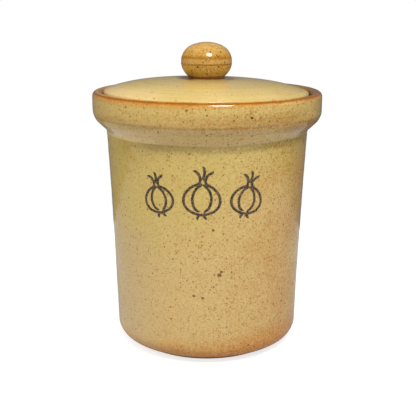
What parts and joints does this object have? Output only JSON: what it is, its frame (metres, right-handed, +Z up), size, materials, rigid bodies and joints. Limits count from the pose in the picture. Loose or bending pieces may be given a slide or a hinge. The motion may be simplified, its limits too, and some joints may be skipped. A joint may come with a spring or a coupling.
{
  "type": "onion storage canister",
  "caption": "Round glazed stoneware storage jar with a rolled collar and a domed drop-in lid that lifts off by its ball knob.",
  "frame": {"origin": "centre of the foot ring, on the surface that the jar stands on", "axes": "+Z up along the axis that the jar, lid and knob were turned about; -Y towards the decorated front"},
  "size_m": [0.18, 0.18, 0.2404],
  "materials": {
    "jar_glaze": "glossy speckled oatmeal glaze that breaks to rust brown at the lip, the collar's edge and the heel",
    "lid_glaze": "glossy speckled honey glaze",
    "knob_glaze": "glossy speckled honey glaze with rust lines at the belt"
  },
  "bodies": {
    "jar": {"stoneware_jar": "jar_glaze"},
    "lid": {"lid": "lid_glaze", "lid_knob": "knob_glaze"}
  },
  "joints": [
    {"name": "lid_lift", "type": "slide", "parent": "jar", "child": "lid", "axis": [0, 0, 1], "range_m": [0, 0.25]}
  ]
}
